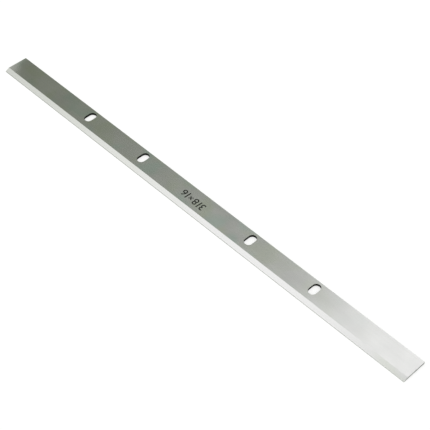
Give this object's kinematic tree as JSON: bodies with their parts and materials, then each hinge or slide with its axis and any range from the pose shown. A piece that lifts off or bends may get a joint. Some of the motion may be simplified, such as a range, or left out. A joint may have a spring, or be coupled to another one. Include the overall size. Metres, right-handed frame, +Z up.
{
  "type": "planer knife",
  "caption": "Long flat planer knife with one ground bevel along its cutting edge and short slots across it for clamp screws.",
  "frame": {"origin": "under the middle of the bar, on the surface that it lies on", "axes": "+X along the length, +Y from the cutting edge to the back, +Z up out of the face that carries the bevel"},
  "size_m": [0.3174, 0.016, 0.0016],
  "materials": {
    "ground_steel": "fine ground"
  },
  "bodies": {
    "root": {"planer_knife": "ground_steel"}
  },
  "joints": []
}
